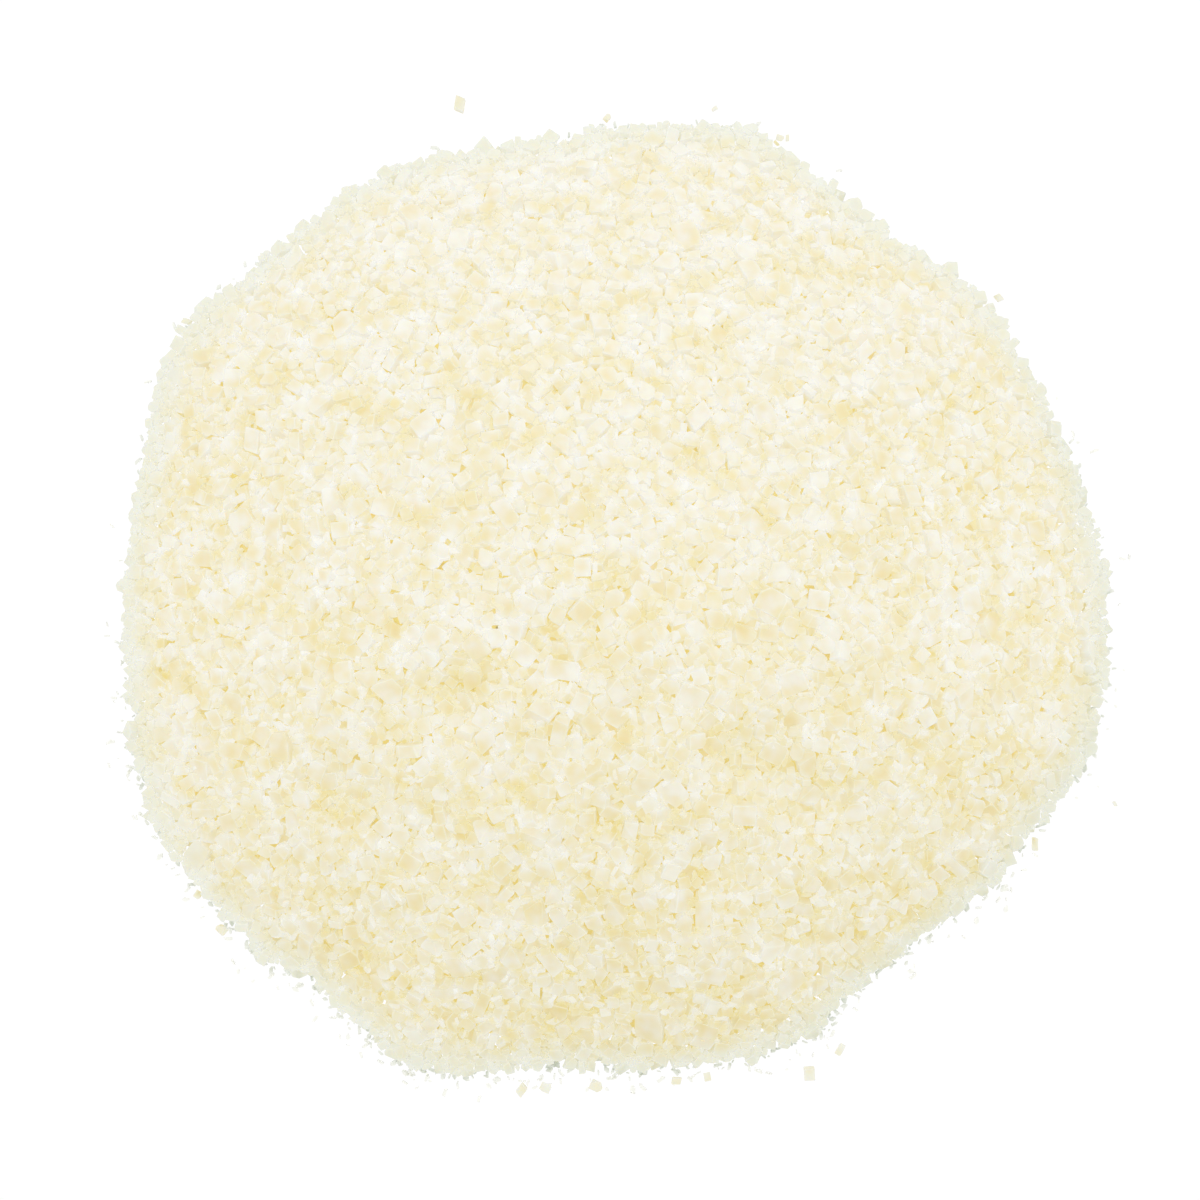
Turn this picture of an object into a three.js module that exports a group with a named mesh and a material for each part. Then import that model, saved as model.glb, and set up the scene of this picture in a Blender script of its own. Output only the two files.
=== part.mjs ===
// A heap of golden cane sugar, poured onto a flat surface and left as it slumped.
// Millimetres, +Z up. The flat underside lies on z = 0, and the origin is under the middle of the heap.
import * as THREE from 'three';

const { degToRad, lerp, seededRandom, smoothstep } = THREE.MathUtils;

// Driving dimensions
const HEAP_HEIGHT = 10.4; // from the surface to the top of the even dome
const TOE_HEIGHT = 0.75; // the heap ends in a rim about one crystal thick
const DOME_POWER = 2.05; // 2 is a parabola: round on top, and at the angle of repose by the rim
const APEX = new THREE.Vector2(-0.6, 1.4); // the top lies a little behind and left of the middle
const CRYSTAL_SIZE = 0.85; // across a usual crystal

// Where the rim turns: bearing in degrees counter-clockwise from +X, and distance from the middle
const RIM = [
  [0, 27.3], [15, 26.5], [39, 26.5], [55, 25.3], [75, 27.1], [98, 25.8], [122, 27.2], [133, 27.1],
  [151, 28.3], [166, 27.0], [185, 27.3], [208, 28.3], [226, 27.5], [232, 26.7], [245, 28.0],
  [268, 25.8], [293, 26.4], [303, 25.1], [315, 25.3], [327, 26.3], [346, 27.6],
];
const MEAN_RIM = RIM.reduce((sum, [, distance]) => sum + distance, 0) / RIM.length;

// Where crystals have slipped away and left a shallow hollow: place, reach and depth
const HOLLOWS = [
  { x: 7.1, y: -8.2, reach: 1.9, depth: 0.55 },
  { x: 10.3, y: -10.2, reach: 1.7, depth: 0.6 },
  { x: 5.0, y: -13.4, reach: 1.8, depth: 0.4 },
  { x: 0.9, y: 20.6, reach: 1.6, depth: 0.5 },
  { x: 13.4, y: 0.6, reach: 1.8, depth: 0.35 },
  { x: 4.6, y: 6.4, reach: 2.2, depth: 0.3 },
  { x: -8.5, y: -4.7, reach: 1.5, depth: 0.4 },
  { x: -14.3, y: -11.1, reach: 1.6, depth: 0.5 },
  { x: -18.2, y: 12.1, reach: 1.2, depth: 0.4 },
  { x: -1.2, y: -21.6, reach: 2.0, depth: 0.5 },
];

// Broad, low waves that pouring leaves on the slope: the bearing they run along, their length, and
// the share of a wave that the middle stands at
const SWELLS = [
  { bearing: 8, length: 5.5, start: 0 },
  { bearing: 56, length: 6.1, start: 0.35 },
  { bearing: 300, length: 5.0, start: 0.7 },
];
const SWELL_HEIGHT = 0.22; // where the crests of all the waves meet
const TOE_FADE = 6; // hollows and waves run out before the toe: the larger this is, the closer to it

// The surface is a mesh of triangles about as large as the crystals' faces
const RINGS = 40; // rings of corners from the apex to the rim
const SIDES = 6; // a ring of corners is a hexagon drawn out to the rim's shape
const CRYSTAL_EVERY = 3; // every third corner is the top of a crystal, and no two of those meet
const PROUD = [0.18 * CRYSTAL_SIZE, 0.5 * CRYSTAL_SIZE]; // crystals stand this far above the slope
const SUNK = [-0.25 * CRYSTAL_SIZE, 0.05 * CRYSTAL_SIZE]; // and the gaps between them lie here
const SIDEWAYS = 0.2 * CRYSTAL_SIZE; // how far a corner strays along the slope
const RIM_STRAY = 0.45 * CRYSTAL_SIZE; // how far single crystals stand in or out at the rim

const SEED = 20240;
seededRandom(SEED); // a first call with a seed sets the draws that follow

function between(low, high) {
  return lerp(low, high, seededRandom());
}

// The rim's distance from the middle at a bearing, easing from each turn of the rim to the next
function rimDistance(bearing) {
  const after = RIM.findIndex(([turn]) => turn > bearing);
  const end = after < 0 ? RIM[0] : RIM[after];
  const start = after < 0 ? RIM[RIM.length - 1] : RIM[after - 1];
  const span = end[0] - start[0] + (after < 0 ? 360 : 0);
  return lerp(start[1], end[1], smoothstep(bearing - start[0], 0, span));
}

// A place on the slope at a share of the way from the apex to the rim. Up the slope, the rim's turns
// even out into a circle.
function slopePlace(share, bearing, stray) {
  const reach = lerp(MEAN_RIM, rimDistance(bearing), share ** 2) + stray;
  const turn = degToRad(bearing);
  const edge = new THREE.Vector2(Math.cos(turn), Math.sin(turn)).multiplyScalar(reach);
  return APEX.clone().lerp(edge, share);
}

// The even dome's height at a share of the way from the apex to the rim
function domeHeight(share) {
  return lerp(HEAP_HEIGHT, TOE_HEIGHT, share ** DOME_POWER);
}

function hollowDepth(x, y) {
  return HOLLOWS.reduce((sum, hollow) => {
    const away = Math.hypot(x - hollow.x, y - hollow.y) / hollow.reach;
    return sum + hollow.depth * Math.exp(-away * away);
  }, 0);
}

function swellHeight(x, y) {
  const sum = SWELLS.reduce((total, { bearing, length, start }) => {
    const turn = degToRad(bearing);
    const along = x * Math.cos(turn) + y * Math.sin(turn);
    return total + Math.sin(2 * Math.PI * (along / length + start));
  }, 0);
  return (SWELL_HEIGHT * sum) / SWELLS.length;
}

// One corner of the surface
function surfaceCorner(ring, side, step) {
  const share = ring / RINGS;
  const bearing = ring ? (360 / SIDES) * (side + step / ring) : 0;
  const isRim = ring === RINGS;
  const place = slopePlace(share, bearing, isRim ? between(-RIM_STRAY, RIM_STRAY) : 0);
  if (!isRim) place.add(new THREE.Vector2(between(-SIDEWAYS, SIDEWAYS), between(-SIDEWAYS, SIDEWAYS)));

  const isCrystal = (ring + step) % CRYSTAL_EVERY === 0;
  const bump = between(...(isCrystal ? PROUD : SUNK));
  const fade = 1 - share ** TOE_FADE;
  const form = fade * (swellHeight(place.x, place.y) - hollowDepth(place.x, place.y));
  return new THREE.Vector3(place.x, place.y, domeHeight(share) + form + bump);
}

// Where a corner stands in the list: ring after ring, counter-clockwise, with the apex first
function cornerIndex(ring, step) {
  return ring === 0 ? 0 : 1 + (SIDES / 2) * ring * (ring - 1) + (step % (SIDES * ring));
}

function surfaceCorners() {
  const corners = [surfaceCorner(0, 0, 0)];
  for (let ring = 1; ring <= RINGS; ring += 1) {
    for (let side = 0; side < SIDES; side += 1) {
      for (let step = 0; step < ring; step += 1) corners.push(surfaceCorner(ring, side, step));
    }
  }
  return corners;
}

function surfaceFaces() {
  const faces = [];
  for (let ring = 1; ring <= RINGS; ring += 1) {
    for (let side = 0; side < SIDES; side += 1) {
      const inner = (step) => cornerIndex(ring - 1, side * (ring - 1) + step);
      const outer = (step) => cornerIndex(ring, side * ring + step);
      for (let step = 0; step < ring; step += 1) {
        faces.push(inner(step), outer(step), outer(step + 1));
        if (step < ring - 1) faces.push(inner(step), outer(step + 1), inner(step + 1));
      }
    }
  }
  return faces;
}

// The rough upper surface, a low wall straight down from the rim, and the flat underside
function heapGeometry() {
  const corners = surfaceCorners();
  const faces = surfaceFaces();
  const rimCount = SIDES * RINGS;
  const footStart = corners.length;
  const underMiddle = footStart + rimCount;
  for (let step = 0; step < rimCount; step += 1) {
    const top = corners[cornerIndex(RINGS, step)];
    corners.push(new THREE.Vector3(top.x, top.y, 0));
  }
  corners.push(new THREE.Vector3(0, 0, 0));

  for (let step = 0; step < rimCount; step += 1) {
    const next = (step + 1) % rimCount;
    const [top, nextTop] = [cornerIndex(RINGS, step), cornerIndex(RINGS, next)];
    const [foot, nextFoot] = [footStart + step, footStart + next];
    faces.push(top, foot, nextFoot, top, nextFoot, nextTop);
    faces.push(underMiddle, nextFoot, foot);
  }

  const geometry = new THREE.BufferGeometry().setFromPoints(corners);
  geometry.setIndex(faces);
  geometry.computeBoundingBox();
  const middle = geometry.boundingBox.getCenter(new THREE.Vector3());
  geometry.translate(-middle.x, -middle.y, 0);
  geometry.computeVertexNormals();
  return geometry;
}

// Pale straw crystals, slightly glossy
const sugar = new THREE.MeshStandardMaterial({
  color: 0xf4ecd1,
  roughness: 0.4,
  metalness: 0,
  flatShading: true,
});

const heap = new THREE.Mesh(heapGeometry(), sugar);
heap.name = 'sugar_heap';

const group = new THREE.Group();
group.add(heap);

export default group;
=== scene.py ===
from itertools import combinations
from math import cos, pi, radians, sin

import bmesh
import bpy
import numpy as np
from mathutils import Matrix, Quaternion, Vector
from mathutils.bvhtree import BVHTree


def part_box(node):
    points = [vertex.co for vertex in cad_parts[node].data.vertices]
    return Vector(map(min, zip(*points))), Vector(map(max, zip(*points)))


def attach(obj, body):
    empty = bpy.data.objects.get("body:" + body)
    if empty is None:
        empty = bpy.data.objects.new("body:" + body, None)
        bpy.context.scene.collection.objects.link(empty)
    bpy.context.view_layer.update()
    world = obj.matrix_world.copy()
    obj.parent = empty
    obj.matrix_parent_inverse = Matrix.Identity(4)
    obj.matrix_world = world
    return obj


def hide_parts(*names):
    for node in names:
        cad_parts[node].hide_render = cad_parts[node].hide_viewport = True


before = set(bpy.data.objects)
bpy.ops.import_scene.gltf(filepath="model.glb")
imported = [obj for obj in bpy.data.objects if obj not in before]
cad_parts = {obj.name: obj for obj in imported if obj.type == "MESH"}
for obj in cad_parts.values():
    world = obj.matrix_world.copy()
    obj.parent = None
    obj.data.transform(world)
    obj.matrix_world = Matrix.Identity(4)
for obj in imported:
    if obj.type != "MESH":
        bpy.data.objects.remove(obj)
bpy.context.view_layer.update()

# The heap's form
# Golden cane sugar poured on to a flat surface. It slumps to a low dome at its angle of repose and
# thins out to single crystals at the toe. The fixed solid has that form, and its heights are read here.
MM = 0.001
CRYSTAL = 0.85 * MM  # across a usual crystal
CELL = 0.09 * MM  # heights are kept on a square grid with cells of this size
BARE = 4.0 * MM  # how much bare ground the grid keeps round the heap
FORM_BLUR = 0.7 * MM  # evens out the solid's own bumps, which the real crystals take the place of
LEAST_COVER = 0.1  # keeps the division sound where hardly any sugar is near

heap_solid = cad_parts["sugar_heap"]
heap_low, heap_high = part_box("sugar_heap")
grid_x = np.arange(heap_low.x - BARE, heap_high.x + BARE, CELL)
grid_y = np.arange(heap_low.y - BARE, heap_high.y + BARE, CELL)


def solid_heights():
    """How high the solid stands over every cell, and 0 on bare ground."""
    mesh = heap_solid.data
    tree = BVHTree.FromPolygons([v.co for v in mesh.vertices], [p.vertices for p in mesh.polygons])
    down = Vector((0, 0, -1))
    start = heap_high.z + CRYSTAL
    heights = np.zeros((len(grid_y), len(grid_x)))
    for row, y in enumerate(grid_y):
        for column, x in enumerate(grid_x):
            hit = tree.ray_cast(Vector((x, y, start)), down)[0]
            if hit is not None:
                heights[row, column] = hit.z
    return heights


def blurred(heights, reach):
    """A running mean over a square of that half width, taken three times, which is near a bell curve."""
    cells = max(1, round(reach / CELL))
    width = 2 * cells + 1
    for axis in (0, 1) * 3:
        ends = [(0, 0), (0, 0)]
        ends[axis] = (cells + 1, cells)
        sums = np.cumsum(np.pad(heights, ends, mode="edge"), axis=axis)
        upper = np.take(sums, range(width, sums.shape[axis]), axis=axis)
        lower = np.take(sums, range(0, sums.shape[axis] - width), axis=axis)
        heights = (upper - lower) / width
    return heights


solid_height = solid_heights()
covered = solid_height > 0


def cover_within(reach):
    """The share of the ground within a reach of every cell that the solid covers."""
    return blurred(covered.astype(float), reach)


evened = blurred(solid_height, FORM_BLUR) / np.maximum(cover_within(FORM_BLUR), LEAST_COVER)
form = np.where(covered, evened, 0)
slope_y, slope_x = np.gradient(form, CELL)


def cell_of(x, y):
    """The row and column of the cell at a place. Takes numbers or arrays."""
    row = np.clip(np.round((y - grid_y[0]) / CELL).astype(int), 0, len(grid_y) - 1)
    column = np.clip(np.round((x - grid_x[0]) / CELL).astype(int), 0, len(grid_x) - 1)
    return row, column


# The crystals' shapes
# Cane sugar boils down to small blocky crystals with flat faces and slanted ends, and the drum that
# dries them wears the edges and knocks splinters off. Each habit is cut here once, at its usual size.
EDGE_WEAR = 0.12 * CRYSTAL  # how far the edges are worn back
ONE_PLACE = 0.001 * MM  # corners closer than this are one corner
NO_CORNER = 1e-6  # three faces meet in no corner where their normals span less than this
COPLANAR = radians(1)


class Habit:
    """One shape that crystals grow or break into: its flat faces, and a small mesh with worn edges."""

    def __init__(self, name, faces, share, wear=EDGE_WEAR):
        self.name = name
        self.share = share
        self.normals = np.array([Vector(direction).normalized() for direction, _ in faces])
        self.distances = np.array([distance * MM for _, distance in faces])
        self.corners = self.find_corners()
        self.reach = np.linalg.norm(self.corners, axis=1).max()
        self.template = self.make_template(wear)

    def find_corners(self):
        """Where three faces meet, on the inside of all the others."""
        corners = []
        for trio in combinations(range(len(self.normals)), 3):
            normals = self.normals[list(trio)]
            if abs(np.linalg.det(normals)) < NO_CORNER:
                continue
            corner = np.linalg.solve(normals, self.distances[list(trio)])
            if np.all(self.normals @ corner <= self.distances + ONE_PLACE):
                corners.append(corner)
        return np.array(corners)

    def make_template(self, wear):
        """A mesh of one crystal, in which the worn edges carry a number for the material."""
        shell = bmesh.new()
        for corner in self.corners:
            shell.verts.new(corner)
        bmesh.ops.remove_doubles(shell, verts=shell.verts, dist=ONE_PLACE)
        hull = bmesh.ops.convex_hull(shell, input=shell.verts)
        spare = [part for part in hull["geom_interior"] if isinstance(part, bmesh.types.BMVert)]
        bmesh.ops.delete(shell, geom=spare, context="VERTS")
        bmesh.ops.dissolve_limit(shell, angle_limit=COPLANAR, verts=shell.verts, edges=shell.edges)
        edge_layer = shell.faces.layers.float.new("edge")
        if wear:
            worn = bmesh.ops.bevel(shell, geom=list(shell.edges), offset=wear, segments=1, profile=0.5,
                                   affect="EDGES", clamp_overlap=True)
            for face in worn["faces"]:
                face[edge_layer] = 1
        bmesh.ops.recalc_face_normals(shell, faces=shell.faces)
        mesh = bpy.data.meshes.new(self.name)
        shell.to_mesh(mesh)
        shell.free()
        mesh.shade_flat()
        template = bpy.data.objects.new(f"one_{self.name}", mesh)
        bpy.context.scene.collection.objects.link(template)
        return template


def block_faces(length, width, thickness, slant=0):
    """The six faces of a crystal that lies flat, its ends leaning over by a slant in degrees."""
    lean = sin(radians(slant))
    return [
        ((1, 0, lean), length / 2), ((-1, 0, -lean), length / 2),
        ((0, 1, 0), width / 2), ((0, -1, 0), width / 2),
        ((0, 0, 1), thickness / 2), ((0, 0, -1), thickness / 2),
    ]


# Sizes in mm, then the faces that cut corners off: the way each faces, and how far out it lies
HABITS = [
    Habit("blocks", block_faces(0.94, 0.84, 0.72, slant=13) + [
        ((1, -0.8, 0.3), 0.56), ((-1, 0.9, 0.5), 0.6),
    ], share=0.14),
    Habit("worn_blocks", block_faces(0.98, 0.9, 0.7, slant=13) + [
        ((1, 1, 0.3), 0.6),
    ], share=0.14, wear=0.16 * MM),
    Habit("slabs", block_faces(1.1, 0.98, 0.5, slant=13) + [
        ((1, 1, 0), 0.58), ((-1, 0.8, 0.3), 0.6),
    ], share=0.16),
    Habit("prisms", block_faces(1.45, 0.74, 0.6) + [
        ((1, 0.75, 0), 0.7), ((-1, -0.75, 0), 0.7), ((1, -0.2, 0.5), 0.62),
    ], share=0.08),
    Habit("tapered", block_faces(1.15, 0.9, 0.66, slant=8) + [
        ((1, 0.9, 0), 0.5), ((1, -0.9, 0), 0.5), ((-1, 0.5, 0.4), 0.52),
    ], share=0.18),
    Habit("broken", block_faces(1.1, 0.9, 0.66, slant=13) + [
        ((1, 0.35, 0.8), 0.42), ((-0.3, -1, 0.6), 0.43), ((-1, 0.6, -0.2), 0.52),
    ], share=0.2),
    Habit("grains", block_faces(0.66, 0.54, 0.42, slant=13) + [
        ((1, 1, 0.6), 0.33), ((-1, 0.6, -0.7), 0.32),
    ], share=0.07, wear=0.06 * MM),
    Habit("large", block_faces(1.6, 1.25, 0.8, slant=13) + [
        ((1, 1, 0), 0.84), ((-1, 0.3, 0.9), 0.78), ((0.3, -1, 0), 0.62),
    ], share=0.03),
    Habit("splinters", block_faces(0.6, 0.26, 0.2, slant=25) + [
        ((1, 1, 0.5), 0.2), ((-1, 0.3, 1), 0.2),
    ], share=0, wear=0),
    Habit("flakes", block_faces(0.46, 0.4, 0.15, slant=20) + [
        ((1, -1, 0.2), 0.18), ((-1, 0.6, 0), 0.17),
    ], share=0, wear=0),
]
NAMES = [habit.name for habit in HABITS]
LARGE, SPLINTERS, FLAKES = (NAMES.index(name) for name in ("large", "splinters", "flakes"))


# The pour
# Every crystal comes to rest on those under it. Each is turned at random, mostly flat to the slope,
# and let down where the heap lies lowest under its form, on the lowest of a few spots side by side.
SEED = 7
BATCH = 150  # crystals laid before the lowest places are looked for again
BATCHES = 2  # for each one that it would take if every crystal found its place
PICKY = 1.5  # the higher this is, the more often the lowest places are chosen
SPOTS = 9  # spots that a crystal tries
SPOT_SPREAD = 0.5 * MM
RIM_REACH = 0.25 * MM  # a crystal's middle stays about this far inside the heap's outline
WELL_COVERED = 0.9  # as this share of the ground that near it has to be sugar
NESTLE = 0.36  # share of its size that a crystal settles in between its neighbours
OWN_HEIGHT_PROUD = 0.3  # a thick crystal may stand higher over the form than a thin one
SPREAD_IN_SIZE = 0.24
SIZE_LIMITS = (0.55, 1.55)
TOE_SIZE = 0.55  # share of their usual size that the crystals have by the rim
FULL_SIZE_HEIGHT = 2.2 * MM  # and they have all of it where the heap is this high
TILT = radians(15)  # usual tilt from the slope
TOSSED = 0.16  # share of the crystals that lie at any tilt up to the most
MOST_TILT = pi / 3
LYING = [Quaternion(), Quaternion((1, 0, 0), pi / 2), Quaternion((0, 1, 0), pi / 2)]
LYING_SHARES = [0.7, 0.23, 0.07]  # flat, on a side and on an end
EDGEWISE = 0.02  # a face this close to upright counts as a wall

random = np.random.default_rng(SEED)
CRYSTAL_SHARES = [habit.share for habit in HABITS]
BIT_SHARES = [{"splinters": 0.55, "flakes": 0.45}.get(name, 0) for name in NAMES]
may_lie = cover_within(RIM_REACH) > WELL_COVERED


def random_turn(row, column):
    """A turn that lays a crystal on the slope at a cell."""
    lying = LYING[random.choice(len(LYING), p=LYING_SHARES)]
    about = random.uniform(0, 2 * pi)
    tilt = random.uniform(0, MOST_TILT) if random.random() < TOSSED else random.normal(0, TILT)
    slope = Vector((-slope_x[row, column], -slope_y[row, column], 1)).normalized()
    to_slope = Vector((0, 0, 1)).rotation_difference(slope)
    tipped = Quaternion((cos(about), sin(about), 0), tilt)
    return to_slope @ tipped @ Quaternion((0, 0, 1), random.uniform(0, 2 * pi)) @ lying


def footprint(habit, size, turn):
    """The cells under a turned crystal, and its underside and top over each of them."""
    normals = habit.normals @ np.array(turn.to_matrix()).T
    cells = int(habit.reach * size / CELL) + 1
    steps = np.arange(-cells, cells + 1)
    across, along = (steps_of.ravel() for steps_of in np.meshgrid(steps, steps))
    margin = (habit.distances * size)[:, None] - CELL * (
        normals[:, :1] * across + normals[:, 1:2] * along)
    rise = normals[:, 2:3]
    up = rise[:, 0] > EDGEWISE
    down = rise[:, 0] < -EDGEWISE
    top = (margin[up] / rise[up]).min(axis=0)
    under = (margin[down] / rise[down]).max(axis=0)
    inside = (top > under) & np.all(margin[~up & ~down] >= 0, axis=0)
    return across[inside], along[inside], under[inside], top[inside]


def lay_crystal(ground, target, habit, size, turn, row, column, proud):
    """Lets one crystal down near a cell. Gives its middle and the height of its top, or None where it
    would stand too proud."""
    across, along, under, top = footprint(habit, size, turn)
    if not len(across):
        return None
    reach = round(SPOT_SPREAD * size / CELL)
    rows = np.clip(row + random.integers(-reach, reach + 1, SPOTS), 0, len(grid_y) - 1)
    columns = np.clip(column + random.integers(-reach, reach + 1, SPOTS), 0, len(grid_x) - 1)
    under_rows = np.clip(rows[:, None] + along, 0, len(grid_y) - 1)
    under_columns = np.clip(columns[:, None] + across, 0, len(grid_x) - 1)
    rests = (ground[under_rows, under_columns] - under).max(axis=1)
    lowest = (habit.corners @ np.array(turn.to_matrix()).T)[:, 2].min() * size
    rests = np.maximum(rests - NESTLE * size * CRYSTAL, -lowest)
    over = rests + top.max() - target[rows, columns]
    over[~may_lie[rows, columns]] = np.inf
    best = over.argmin()
    if over[best] > proud + OWN_HEIGHT_PROUD * (top.max() - under.min()):
        return None
    place = (under_rows[best], under_columns[best])
    ground[place] = np.maximum(ground[place], rests[best] + top)
    middle = (grid_x[columns[best]], grid_y[rows[best]], rests[best])
    return middle, rests[best] + top.max()


def pour(ground, target, most, proud, slack, usual_size=1, shares=CRYSTAL_SHARES):
    """Lays crystals until the ground is up to its target. They may stand proud of it, and lie only where
    the ground is lower than it by the slack. Gives their habit, size, turn, middle and top."""
    laid = []
    for _ in range(most // BATCH * BATCHES):
        room = np.clip(target - ground - slack, 0, None) ** PICKY * may_lie
        if len(laid) >= most or not room.any():
            break
        chance = np.cumsum(room)
        sites = np.searchsorted(chance, random.uniform(0, chance[-1], BATCH))
        for row, column in zip(*np.unravel_index(sites, room.shape)):
            kind = random.choice(len(HABITS), p=shares)
            size = usual_size * np.clip(random.normal(1, SPREAD_IN_SIZE), *SIZE_LIMITS)
            size *= np.clip(form[row, column] / FULL_SIZE_HEIGHT, TOE_SIZE, 1)
            turn = random_turn(row, column)
            place = lay_crystal(ground, target, HABITS[kind], size, turn, row, column, proud)
            if place is not None:
                laid.append((kind, size, turn, *place))
    return laid


# The deeper crystals come first, and then the loose ones on them, each pass smaller than the last.
# Splinters and flakes fill the gaps that are left. How deep sugar lies is measured without them.
SHELL = 1.75 * MM  # the loose crystals lie this deep
BED = 1.1 * MM  # and the deeper ones lie this deep under them
SURFACE_BLUR = 0.5 * MM

ground = np.maximum(form - SHELL - BED, 0)
pour(ground, np.maximum(form - SHELL, 0), most=9000, proud=0.1 * MM, slack=0.1 * MM)
bed = ground.copy()
crystals = pour(ground, form, most=9000, proud=0.1 * MM, slack=0.1 * MM, usual_size=0.86)
crystals += pour(ground, form, most=4000, proud=0.03 * MM, slack=0.18 * MM, usual_size=0.62)
crystals += pour(ground, form, most=4000, proud=-0.05 * MM, slack=0.28 * MM, usual_size=0.42)
surface = blurred(ground, SURFACE_BLUR)
crystals += pour(ground, form, most=6500, proud=0.16 * MM, slack=-0.25 * MM, shares=BIT_SHARES)

# The core
# Deep in the heap nothing shows but the tops of crystals, in the gaps between those that lie on them.
# So it is one solid, with those tops as relief, in the deeper gold that the light takes on down there.
CORE_SHARE = 0.915  # of the heap's breadth, as the toe is all loose crystals
CORE_RIM = 0.1 * MM  # its height where no deeper crystal lies


def make_core():
    """A copy of the solid, drawn in from the toe, with the bed's heights on its upper side."""
    shell = bmesh.new()
    shell.from_mesh(heap_solid.data)
    bmesh.ops.remove_doubles(shell, verts=shell.verts, dist=ONE_PLACE)
    upper = [edge for edge in shell.edges if max(vert.co.z for vert in edge.verts) > ONE_PLACE]
    bmesh.ops.subdivide_edges(shell, edges=upper, cuts=1, use_grid_fill=True)
    for vert in shell.verts:
        raised = vert.co.z > ONE_PLACE
        vert.co.x *= CORE_SHARE
        vert.co.y *= CORE_SHARE
        if raised:
            vert.co.z = max(bed[cell_of(vert.co.x, vert.co.y)], CORE_RIM)
    bmesh.ops.triangulate(shell, faces=shell.faces)
    bmesh.ops.recalc_face_normals(shell, faces=shell.faces)
    mesh = bpy.data.meshes.new("core")
    shell.to_mesh(mesh)
    shell.free()
    core = bpy.data.objects.new("core", mesh)
    bpy.context.scene.collection.objects.link(core)
    return core


def shade(red, green, blue):
    """A colour as it looks, from 0 to 255 a channel, as the linear values that shaders take."""
    levels = np.array([red, green, blue]) / 255
    linear = np.where(levels <= 0.04045, levels / 12.92, ((levels + 0.055) / 1.055) ** 2.4)
    return (*linear, 1)


def mixed(tree, share, first, second):
    """Mixes two colours, each a colour or a socket, by a share or a socket."""
    mix = tree.nodes.new("ShaderNodeMix")
    mix.data_type = "RGBA"
    for socket, value in zip((mix.inputs[0], mix.inputs[6], mix.inputs[7]), (share, first, second)):
        if isinstance(value, bpy.types.NodeSocket):
            tree.links.new(value, socket)
        else:
            socket.default_value = value
    return mix.outputs[2]


def ranged(tree, value, to_low, to_high, low=0, high=1):
    """Maps a socket's range on to another, evenly, and holds it at the ends."""
    remap = tree.nodes.new("ShaderNodeMapRange")
    remap.inputs["From Min"].default_value = low
    remap.inputs["From Max"].default_value = high
    remap.inputs["To Min"].default_value = to_low
    remap.inputs["To Max"].default_value = to_high
    tree.links.new(value, remap.inputs["Value"])
    return remap.outputs["Result"]


def read(tree, name):
    """A number that the mesh carries at its corners."""
    attribute = tree.nodes.new("ShaderNodeAttribute")
    attribute.attribute_name = name
    return attribute.outputs["Fac"]


NOISE_RANGE = (0.3, 0.7)  # nearly all of the noise lies in here


def speckle(tree, size, strength, detail=2):
    """Cloudy noise with patches of about a size, from minus to plus a strength."""
    place = tree.nodes.new("ShaderNodeTexCoord")
    noise = tree.nodes.new("ShaderNodeTexNoise")
    noise.inputs["Scale"].default_value = 1 / size
    noise.inputs["Detail"].default_value = detail
    tree.links.new(place.outputs["Object"], noise.inputs["Vector"])
    return ranged(tree, noise.outputs["Fac"], -strength, strength, *NOISE_RANGE)


def summed(tree, terms):
    """Adds up sockets."""
    total = terms[0]
    for term in terms[1:]:
        add = tree.nodes.new("ShaderNodeMath")
        tree.links.new(total, add.inputs[0])
        tree.links.new(term, add.inputs[1])
        total = add.outputs["Value"]
    return total


def along_line(tree, value, colours):
    """Turns a socket from 0 to 1 into a colour on a line of them."""
    ramp = tree.nodes.new("ShaderNodeValToRGB")
    stops = ramp.color_ramp.elements
    while len(stops) < len(colours):
        stops.new(0.5)
    for stop, (position, colour) in zip(stops, colours):
        stop.position = position
        stop.color = colour
    tree.links.new(value, ramp.inputs["Fac"])
    return ramp.outputs["Color"]


# From a dry crystal on top of the heap, over one that lies under others, to a deep gap. The deeper gold
# is painted shade
GOLDS = [
    (0, shade(245, 245, 238)), (0.3, shade(240, 236, 221)),
    (0.62, shade(237, 225, 183)), (1, shade(232, 208, 122)),
]
NEAR_SHADE_COLOUR = shade(188, 180, 120)  # painted shade: the dark gold that the near side is mixed towards, for the light that comes through the heap to it
COLOURLESS = shade(231, 233, 220)  # a single crystal, with no other under it to colour it
SEAM_SHADE = shade(202, 209, 193)  # painted shade between such crystals
EDGE_HIGHLIGHT = shade(249, 251, 243)  # painted highlight on a worn edge
EDGE_HIGHLIGHT_SHARE = 0.3  # share of that painted highlight in a worn edge
FACE_ROUGHNESS, EDGE_ROUGHNESS = 0.4, 0.15
CLOUDS = [(1.8 * MM, 0.15, 2), (0.9 * MM, 0.1, 1), (0.3 * MM, 0.02, 2)]  # size, strength and detail
PITS = 0.25 * MM  # across the fine unevenness of a face
PIT_DEPTH = 0.02 * MM


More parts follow.
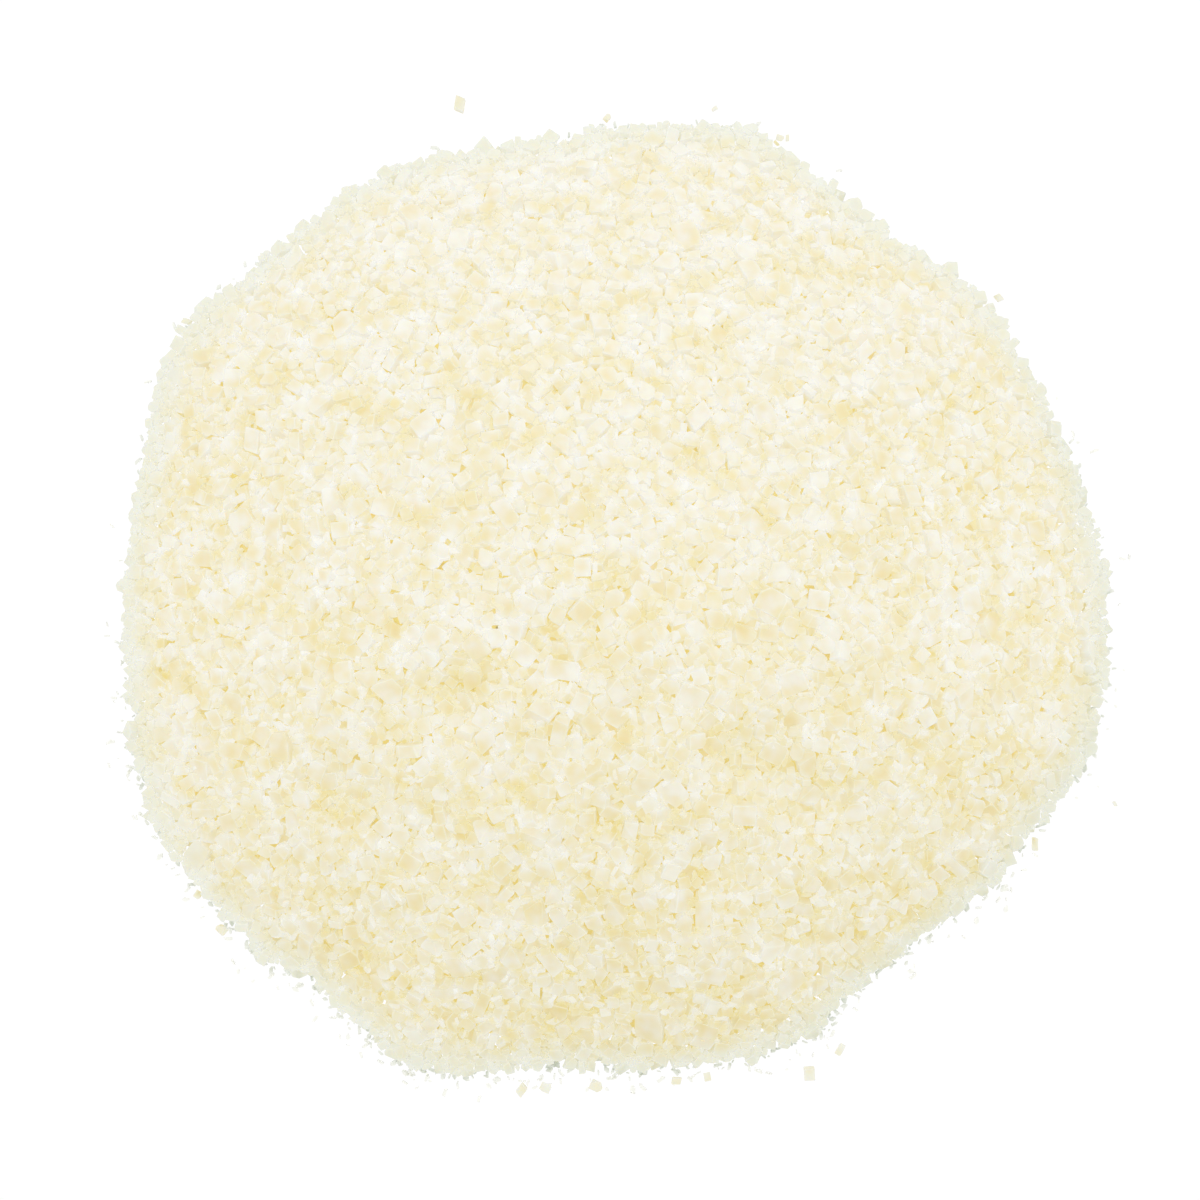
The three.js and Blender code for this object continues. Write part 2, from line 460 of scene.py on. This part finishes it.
def sugar_finish(name, see_through=0, scatter=0.3, colourless=COLOURLESS, thinned=0.9):
    """Sugar: a gold deepened by painted shade where it lies deeper, in seams and on the near side, near
    colourless where the heap is one crystal thick, with a painted highlight on worn edges.
    """
    material = bpy.data.materials.new(name)
    material.use_nodes = True
    tree = material.node_tree
    shader = tree.nodes["Principled BSDF"]
    clouds = [speckle(tree, *cloud) for cloud in CLOUDS]
    # painted shade: the gold deepens where the sugar lies deeper and on the near side
    gold = along_line(tree, summed(tree, [read(tree, "richness"), *clouds]), GOLDS)
    # painted shade in the seams between thin crystals
    clear = mixed(tree, read(tree, "seam"), colourless, SEAM_SHADE)
    lit = mixed(tree, ranged(tree, read(tree, "thin"), 0, thinned), gold, clear)
    # painted shade on the near side of the heap
    dimmed = mixed(tree, read(tree, "dimmed"), lit, NEAR_SHADE_COLOUR)
    edge = read(tree, "edge")
    # painted highlight on the worn edges
    colour = mixed(tree, ranged(tree, edge, 0, EDGE_HIGHLIGHT_SHARE), dimmed, EDGE_HIGHLIGHT)
    tree.links.new(colour, shader.inputs["Base Color"])
    roughness = ranged(tree, edge, FACE_ROUGHNESS, EDGE_ROUGHNESS)
    tree.links.new(roughness, shader.inputs["Roughness"])
    bump = tree.nodes.new("ShaderNodeBump")
    bump.inputs["Distance"].default_value = PIT_DEPTH
    bump.inputs["Strength"].default_value = 0.08
    tree.links.new(speckle(tree, PITS, 1), bump.inputs["Height"])
    tree.links.new(bump.outputs["Normal"], shader.inputs["Normal"])

    shader.inputs["IOR"].default_value = 1.55
    shader.inputs["Specular IOR Level"].default_value = 0.4
    shader.inputs["Transmission Weight"].default_value = see_through
    shader.inputs["Subsurface Weight"].default_value = scatter
    shader.inputs["Subsurface Scale"].default_value = 0.6 * MM
    shader.inputs["Subsurface Radius"].default_value = (1, 0.85, 0.55)
    return material


sugar = sugar_finish("golden_sugar")


def set_numbers(mesh, name, values):
    """Gives every corner of a mesh a number for its material to read."""
    attribute = mesh.attributes.new(name, "FLOAT", "POINT")
    attribute.data.foreach_set("value", values.astype(np.float32))


def read_numbers(mesh, name):
    """The numbers that the corners of a mesh carry."""
    values = np.zeros(len(mesh.vertices), np.float32)
    mesh.attributes[name].data.foreach_get("value", values)
    return values


EASED = 0.3  # light spreads from crystal to crystal, which evens out part of their shading
TURNED_AWAY = -0.3  # corners that face further away from the slope than this keep their own


def unit(directions):
    """The directions, each with a length of 1."""
    return directions / np.linalg.norm(directions, axis=1)[:, None]


def ease_shading(mesh, cells):
    """Rounds the worn edges in the shading, and turns it part of the way to the slope."""
    faces, corners = len(mesh.polygons), len(mesh.vertices)
    normals, areas = np.empty(faces * 3, np.float32), np.empty(faces, np.float32)
    sides, at = np.empty(faces, np.int32), np.empty(len(mesh.loops), np.int32)
    mesh.polygons.foreach_get("normal", normals)
    mesh.polygons.foreach_get("area", areas)
    mesh.polygons.foreach_get("loop_total", sides)
    mesh.loops.foreach_get("vertex_index", at)
    weighed = np.repeat(normals.reshape(-1, 3) * (areas[:, None] / MM ** 2) ** 2, sides, axis=0)
    sums = [np.bincount(at, weights=part, minlength=corners) for part in weighed.T]
    own = unit(np.stack(sums, axis=1))
    slope = unit(np.stack([-slope_x[cells], -slope_y[cells], np.ones(corners)], axis=1))
    facing = (own * slope).sum(axis=1) > TURNED_AWAY
    eased = unit(own + (facing * EASED)[:, None] * (slope - own))
    mesh.shade_smooth()
    mesh.normals_split_custom_set(eased[at])


def on_line(values, line):
    """Reads values off a line through some points, level beyond its ends."""
    return np.interp(values, *zip(*line))


# How rich the gold is, from 0 to 1: on the level surface, and what changes it. Depths are in crystals.
# Most of it is painted shade: a deeper gold down in gaps and hollows and on the near side, a paler one
# on the far side.
EVEN_GOLD = 0.515
BY_LIE = [(-0.2, -0.04), (1, 0.2)]  # painted shade by how deep under the surface a whole crystal lies
BY_DEPTH = [(-0.4, -0.048), (0.9, 0.108), (1.6, 0.458)]  # and painted shade by how deep a corner of it lies
BY_TINT = 0.06  # the crystal's own gold
BY_HOLLOW = [(-0.2, -0.08), (0.5, 0.2)]  # painted shade by how deep the hollow is in which it lies
BY_STEEP, BY_NEAR, BY_FAR = 0.06, 0.1, -0.185  # any slope, painted shade on the near side, and painted light on the far side, which faces the light
MORE_CONTRAST = 0.5  # from crystal to crystal on a slope
HOLLOW_REACH = 1.6 * MM  # hollows up to about this wide count
HOLLOW_HEIGHTS = [(1, 0), (3, 1)]  # heights of the heap in mm, and the share of a hollow that counts

# How the toe and the near side differ from the rest
THIN_HEIGHTS = [(0.8, 1), (2.4, 0)]  # heights in mm, and how near colourless the sugar is there
SEAM_SHADE_DEPTHS = [(0.05, 0), (0.8, 0.8)]  # depths in crystals, and the share of painted shade in a seam
SHADED_RIM = 0.45  # more of it where the toe turns from the light
NEAR_SHADE = 0.25  # how far the painted shade darkens the near side
NEAR_SHADE_LESS = 0.6  # and how much less where the sugar is thin

hollow = (blurred(surface, HOLLOW_REACH) - blurred(surface, SURFACE_BLUR)) / CRYSTAL
hollow *= on_line(surface / MM, HOLLOW_HEIGHTS)


def finish_piece(piece, material, relief=False, clearness=1, sharp=False):
    """Works out the gold with its painted shade and how thin the sugar is at each corner, and hands the
    piece to the frame.
    """
    mesh = piece.data
    places = np.empty(len(mesh.vertices) * 3)
    mesh.vertices.foreach_get("co", places)
    x, y, z = places.reshape(-1, 3).T
    cells = cell_of(x, y)
    depth = (surface[cells] - z) / CRYSTAL
    lies, tint = (depth, 0) if relief else (read_numbers(mesh, "lies"), read_numbers(mesh, "tint"))
    near = np.clip(slope_y[cells], 0, 1)
    far = np.clip(-slope_y[cells], 0, 1)
    steep = np.hypot(slope_x[cells], slope_y[cells])
    # painted shade and light: the gold varies more on the near side and less on the far side, which
    # faces the light
    contrast = 1 + MORE_CONTRAST * steep + near - far
    varied = on_line(lies, BY_LIE) + on_line(depth, BY_DEPTH) + BY_TINT * tint
    sloped = BY_STEEP * steep + BY_NEAR * near + BY_FAR * far
    sunk = on_line(hollow[cells], BY_HOLLOW)
    thin = clearness * on_line(surface[cells] / MM, THIN_HEIGHTS)
    shaded = SHADED_RIM * np.clip(slope_y[cells] - slope_x[cells], 0, 1)
    set_numbers(mesh, "richness", EVEN_GOLD + varied * contrast + sloped + sunk)
    set_numbers(mesh, "thin", thin)
    set_numbers(mesh, "dimmed", NEAR_SHADE * near * (1 - NEAR_SHADE_LESS * thin))
    set_numbers(mesh, "seam", on_line(depth, SEAM_SHADE_DEPTHS) + shaded)
    if not relief and not sharp:
        ease_shading(mesh, cells)
    mesh.materials.clear()
    mesh.materials.append(material)
    piece.visible_shadow = False
    piece.visible_diffuse = False
    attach(piece, "root")
    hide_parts("sugar_heap")


finish_piece(make_core(), sugar, relief=True)

# The loose crystals
# Thousands of them, two or three deep, from 0.5 to 2 mm across, with splinters between them. Each habit
# is one piece where the heap is thick, and another along the toe, where it is one or two crystals thick.
TOE_HEIGHT = 1.6 * MM  # the toe ends about where the heap is this high
TOE_BLEND = 0.5 * MM
PALEST_BIT_AND_GLINT = -2.5  # the tint of the palest splinters, where whole crystals go from -1 to 1; the pale end is partly fresh broken faces and partly painted glints
GROWTH = 1.0  # turns all the crystals of a layer larger or smaller at once


def crystal_layer():
    """Sets a crystal on each point, turned and sized by the point's own numbers."""
    tree = bpy.data.node_groups.new("lay crystals", "GeometryNodeTree")
    sockets = tree.interface
    sockets.new_socket("Points", in_out="INPUT", socket_type="NodeSocketGeometry")
    sockets.new_socket("Crystal", in_out="INPUT", socket_type="NodeSocketObject")
    sockets.new_socket("Growth", in_out="INPUT", socket_type="NodeSocketFloat")
    sockets.new_socket("Finish", in_out="INPUT", socket_type="NodeSocketMaterial")
    sockets.new_socket("Crystals", in_out="OUTPUT", socket_type="NodeSocketGeometry")

    inputs = tree.nodes.new("NodeGroupInput")
    crystal = tree.nodes.new("GeometryNodeObjectInfo")
    tree.links.new(inputs.outputs["Crystal"], crystal.inputs["Object"])
    turn = tree.nodes.new("GeometryNodeInputNamedAttribute")
    turn.data_type = "QUATERNION"
    turn.inputs["Name"].default_value = "turn"
    size = tree.nodes.new("GeometryNodeInputNamedAttribute")
    size.data_type = "FLOAT"
    size.inputs["Name"].default_value = "size"
    growth = tree.nodes.new("ShaderNodeMath")
    growth.operation = "MULTIPLY"
    tree.links.new(size.outputs["Attribute"], growth.inputs[0])
    tree.links.new(inputs.outputs["Growth"], growth.inputs[1])

    lay = tree.nodes.new("GeometryNodeInstanceOnPoints")
    tree.links.new(inputs.outputs["Points"], lay.inputs["Points"])
    tree.links.new(crystal.outputs["Geometry"], lay.inputs["Instance"])
    tree.links.new(turn.outputs["Attribute"], lay.inputs["Rotation"])
    tree.links.new(growth.outputs["Value"], lay.inputs["Scale"])
    real = tree.nodes.new("GeometryNodeRealizeInstances")
    tree.links.new(lay.outputs["Instances"], real.inputs["Geometry"])
    dress = tree.nodes.new("GeometryNodeSetMaterial")
    tree.links.new(real.outputs["Geometry"], dress.inputs["Geometry"])
    tree.links.new(inputs.outputs["Finish"], dress.inputs["Material"])
    outputs = tree.nodes.new("NodeGroupOutput")
    tree.links.new(dress.outputs["Geometry"], outputs.inputs["Crystals"])
    return tree


layer_tree = crystal_layer()


def lay_piece(name, habit, material, laid, palest=-1):
    """One piece of all the crystals of a habit, from their sizes, turns, middles and depths."""
    points = bpy.data.meshes.new(name)
    sizes, turns, middles, depths = zip(*laid)
    points.from_pydata(middles, [], [])
    turn = points.attributes.new("turn", "QUATERNION", "POINT")
    turn.data.foreach_set("value", np.array([turn[:] for turn in turns], np.float32).ravel())
    set_numbers(points, "size", np.array(sizes))
    set_numbers(points, "lies", np.array(depths))
    set_numbers(points, "tint", random.uniform(palest, 1, len(laid)))
    piece = bpy.data.objects.new(name, points)
    bpy.context.scene.collection.objects.link(piece)

    layer = piece.modifiers.new("crystals", "NODES")
    layer.node_group = layer_tree
    values = {"Crystal": habit.template, "Growth": GROWTH, "Finish": material}
    for item in layer_tree.interface.items_tree:
        if item.in_out == "INPUT" and item.name in values:
            layer[item.identifier] = values[item.name]
    depsgraph = bpy.context.evaluated_depsgraph_get()
    mesh = bpy.data.meshes.new_from_object(
        piece.evaluated_get(depsgraph), preserve_all_data_layers=True, depsgraph=depsgraph)
    piece.modifiers.remove(layer)
    piece.data = mesh
    bpy.data.meshes.remove(points)
    return piece


heights = np.array([surface[cell_of(middle[0], middle[1])] for _, _, _, middle, _ in crystals])
in_toe = heights + random.normal(0, TOE_BLEND, len(crystals)) < TOE_HEIGHT
for prefix, chosen in (("toe_", in_toe), ("", ~in_toe)):
    by_habit = {}
    for index in np.flatnonzero(chosen):
        kind, size, turn, middle, top = crystals[index]
        by_habit.setdefault(kind, []).append((size, turn, middle, (heights[index] - top) / CRYSTAL))
    for kind, laid in sorted(by_habit.items()):
        is_bit = kind in (SPLINTERS, FLAKES)
        palest = PALEST_BIT_AND_GLINT if is_bit else -1
        piece = lay_piece(prefix + HABITS[kind].name, HABITS[kind], sugar, laid, palest)
        finish_piece(piece, sugar, sharp=is_bit)

# The strays
# A few crystals rolled off the heap and lie by themselves on the surface, and small chips of sugar lie
# between them and the toe. Both are clearer than the heap, as no other sugar colours them.
STRAYS = [  # where each lies, in mm, and its size
    (-8.5, 27.1, 0.75), (10.7, -26.1, 0.65), (5.5, 26.9, 0.3), (-0.4, 26.4, 0.35), (9.1, 25.3, 0.35),
    (9.5, 25.3, 0.25), (8.9, 25.0, 0.25), (5.1, -26.3, 0.7), (-21.6, -18.2, 0.5), (-23.5, 15.2, 0.45),
    (21.1, 16.5, 0.45), (23.1, -13.5, 0.5), (-22.9, -16.3, 0.4), (-5.1, -27.0, 0.6),
    (-3.8, -26.9, 0.5), (-1.0, -26.8, 0.6), (3.4, -26.5, 0.5), (12.4, -24.8, 0.45), (27.5, -11.3, 0.4),
]
STRAY_CLEARNESS = 0.55
CHIPS = 420
CHIP_REACH = 0.6 * MM  # most chips lie within this distance of the toe
NEAR_TOE = 0.02  # and none where less of the ground round it is covered than this share
CHIP_SIDE = 18 * MM  # most lie on the nearer side, where the last of the sugar slid down
CHIP_SIZE = (0.25, 0.8)
GLASSY = shade(250, 250, 242)

clear_sugar = sugar_finish("clear_sugar", see_through=0.75, scatter=0, colourless=GLASSY, thinned=1)


def set_down(habit, size, x, y):
    """Stands a crystal on the bare surface, on one of its flat sides."""
    lying = LYING[random.integers(2)]
    turn = Quaternion((0, 0, 1), random.uniform(0, 2 * pi)) @ lying
    under = (habit.corners @ np.array(turn.to_matrix()).T)[:, 2].min() * size
    return size, turn, (x, y, -under), 0


strays, chips = {}, {}
for x, y, size in STRAYS:
    kind = random.integers(LARGE)  # all the habits of whole crystals but the large one
    strays.setdefault(kind, []).append(set_down(HABITS[kind], size, x * MM, y * MM))

toe_share = cover_within(CHIP_REACH)
bare_places = np.argwhere((toe_share > NEAR_TOE) & (ground == 0))
chance = toe_share[tuple(bare_places.T)] * np.exp(-grid_y[bare_places[:, 0]] / CHIP_SIDE)
for row, column in random.choice(bare_places, CHIPS, p=chance / chance.sum(), replace=False):
    kind = random.choice((SPLINTERS, FLAKES))
    size = random.uniform(*CHIP_SIZE)
    chips.setdefault(kind, []).append(set_down(HABITS[kind], size, grid_x[column], grid_y[row]))

for kind, laid in sorted(strays.items()):
    piece = lay_piece(f"stray_{HABITS[kind].name}", HABITS[kind], sugar, laid)
    finish_piece(piece, sugar, clearness=STRAY_CLEARNESS)
for kind, laid in sorted(chips.items()):
    piece = lay_piece(f"chip_{HABITS[kind].name}", HABITS[kind], clear_sugar, laid)
    finish_piece(piece, clear_sugar, sharp=True)

for habit in HABITS:
    bpy.data.objects.remove(habit.template)

# The photograph's surroundings
# A plain white surface under soft, even light from all round, a little stronger from the far side,
# and the camera straight above, with the whole heap in a frame 66 mm wide.
FRAME_WIDTH = 66 * MM
FRAME_MIDDLE = Vector((-0.8 * MM, -0.1 * MM, 0))
LENS = 85
SENSOR = 36
HALF_FLOOR = 1.0
FLOOR_HEIGHT = -0.01 * MM  # just under the sugar
WHITE_LIGHT = 0.985
SOFTBOX_PLACE = Vector((0.02, 0.17, 0.22))

floor_mesh = bpy.data.meshes.new("floor")
floor_mesh.from_pydata(
    [(x * HALF_FLOOR, y * HALF_FLOOR, FLOOR_HEIGHT) for x, y in ((-1, -1), (1, -1), (1, 1), (-1, 1))],
    [], [(0, 1, 2, 3)])
floor = bpy.data.objects.new("floor", floor_mesh)
bpy.context.scene.collection.objects.link(floor)
white = bpy.data.materials.new("white_surface")
white.use_nodes = True
white.node_tree.nodes["Principled BSDF"].inputs["Base Color"].default_value = shade(255, 255, 255)
white.node_tree.nodes["Principled BSDF"].inputs["Roughness"].default_value = 0.8
floor_mesh.materials.append(white)
floor.visible_shadow = False

world = bpy.data.worlds.new("studio")
bpy.context.scene.world = world
world.use_nodes = True
world.node_tree.nodes["Background"].inputs["Color"].default_value = (1, 1, 1, 1)
world.node_tree.nodes["Background"].inputs["Strength"].default_value = WHITE_LIGHT

softbox = bpy.data.lights.new("softbox", "AREA")
softbox.size = 0.1
softbox.energy = 0.05
softbox_object = bpy.data.objects.new("softbox", softbox)
bpy.context.scene.collection.objects.link(softbox_object)
softbox_object.location = SOFTBOX_PLACE
softbox_object.rotation_euler = (-SOFTBOX_PLACE).to_track_quat("-Z", "Y").to_euler()

camera = bpy.data.cameras.new("camera")
camera.lens = LENS
camera.sensor_width = SENSOR
camera.clip_start = 0.01
camera.clip_end = 10
camera_object = bpy.data.objects.new("camera", camera)
bpy.context.scene.collection.objects.link(camera_object)
camera_object.location = FRAME_MIDDLE + Vector((0, 0, FRAME_WIDTH * LENS / SENSOR))
bpy.context.scene.camera = camera_object
bpy.context.scene.view_settings.view_transform = "Standard"
